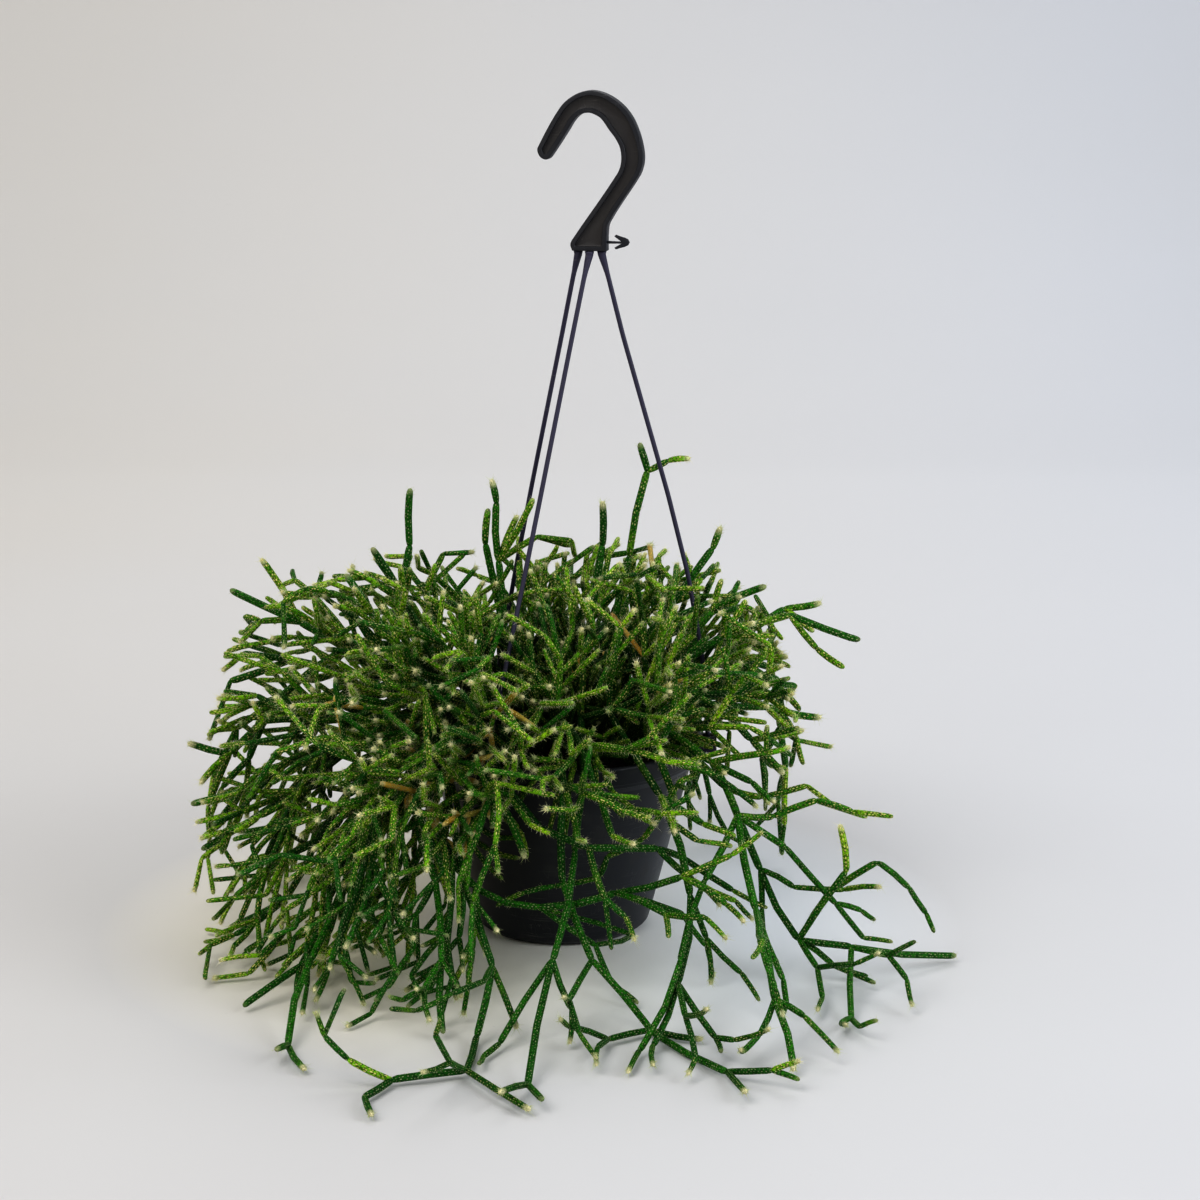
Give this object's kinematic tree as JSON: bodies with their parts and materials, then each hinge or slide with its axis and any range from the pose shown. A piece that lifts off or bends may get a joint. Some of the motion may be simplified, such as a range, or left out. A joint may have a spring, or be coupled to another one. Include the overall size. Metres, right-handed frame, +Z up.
{
  "type": "potted rhipsalis",
  "caption": "Potted Rhipsalis pilocarpa: a bush of forked, bristly green stems spilling over a black hanging pot that stands on its base with its hanger upright.",
  "frame": {"origin": "centre of the pot's base, on the surface that it stands on", "axes": "+Z up along the pot's axis; -Y is the front, where the long stems trail on the floor; +X is to the right as seen from the front"},
  "size_m": [0.4715, 0.491, 0.5131],
  "materials": {
    "pot_plastic": "satin black, finely scuffed",
    "hanger_plastic": "satin black with a bluish tint",
    "peat": "crumbly dark potting soil",
    "stem_green": "waxy green skin with rows of pale areoles and fine white bristles"
  },
  "bodies": {
    "root": {"pot": "pot_plastic", "soil": "peat", "hanger_hook": "hanger_plastic", "hanger_strand_1": "hanger_plastic", "hanger_strand_2": "hanger_plastic", "hanger_strand_3": "hanger_plastic", "stem_01": "stem_green", "stem_02": "stem_green", "stem_03": "stem_green", "stem_04": "stem_green", "stem_05": "stem_green", "stem_06": "stem_green", "stem_07": "stem_green", "stem_08": "stem_green", "stem_09": "stem_green", "stem_10": "stem_green", "stem_11": "stem_green", "stem_12": "stem_green", "stem_13": "stem_green", "stem_14": "stem_green", "stem_15": "stem_green", "stem_16": "stem_green", "stem_17": "stem_green", "stem_18": "stem_green", "stem_19": "stem_green", "stem_20": "stem_green", "stem_21": "stem_green", "stem_22": "stem_green", "stem_23": "stem_green", "stem_24": "stem_green", "stem_25": "stem_green", "stem_26": "stem_green", "stem_27": "stem_green", "stem_28": "stem_green", "stem_29": "stem_green", "stem_30": "stem_green", "stem_31": "stem_green", "stem_32": "stem_green", "stem_33": "stem_green", "stem_34": "stem_green", "stem_35": "stem_green", "stem_36": "stem_green", "stem_37": "stem_green", "stem_38": "stem_green", "stem_39": "stem_green", "stem_40": "stem_green", "stem_41": "stem_green", "stem_42": "stem_green", "stem_43": "stem_green", "stem_44": "stem_green", "stem_45": "stem_green", "stem_46": "stem_green", "stem_47": "stem_green", "stem_48": "stem_green", "stem_49": "stem_green", "stem_50": "stem_green", "stem_51": "stem_green", "stem_52": "stem_green", "stem_53": "stem_green", "stem_54": "stem_green"}
  },
  "joints": []
}
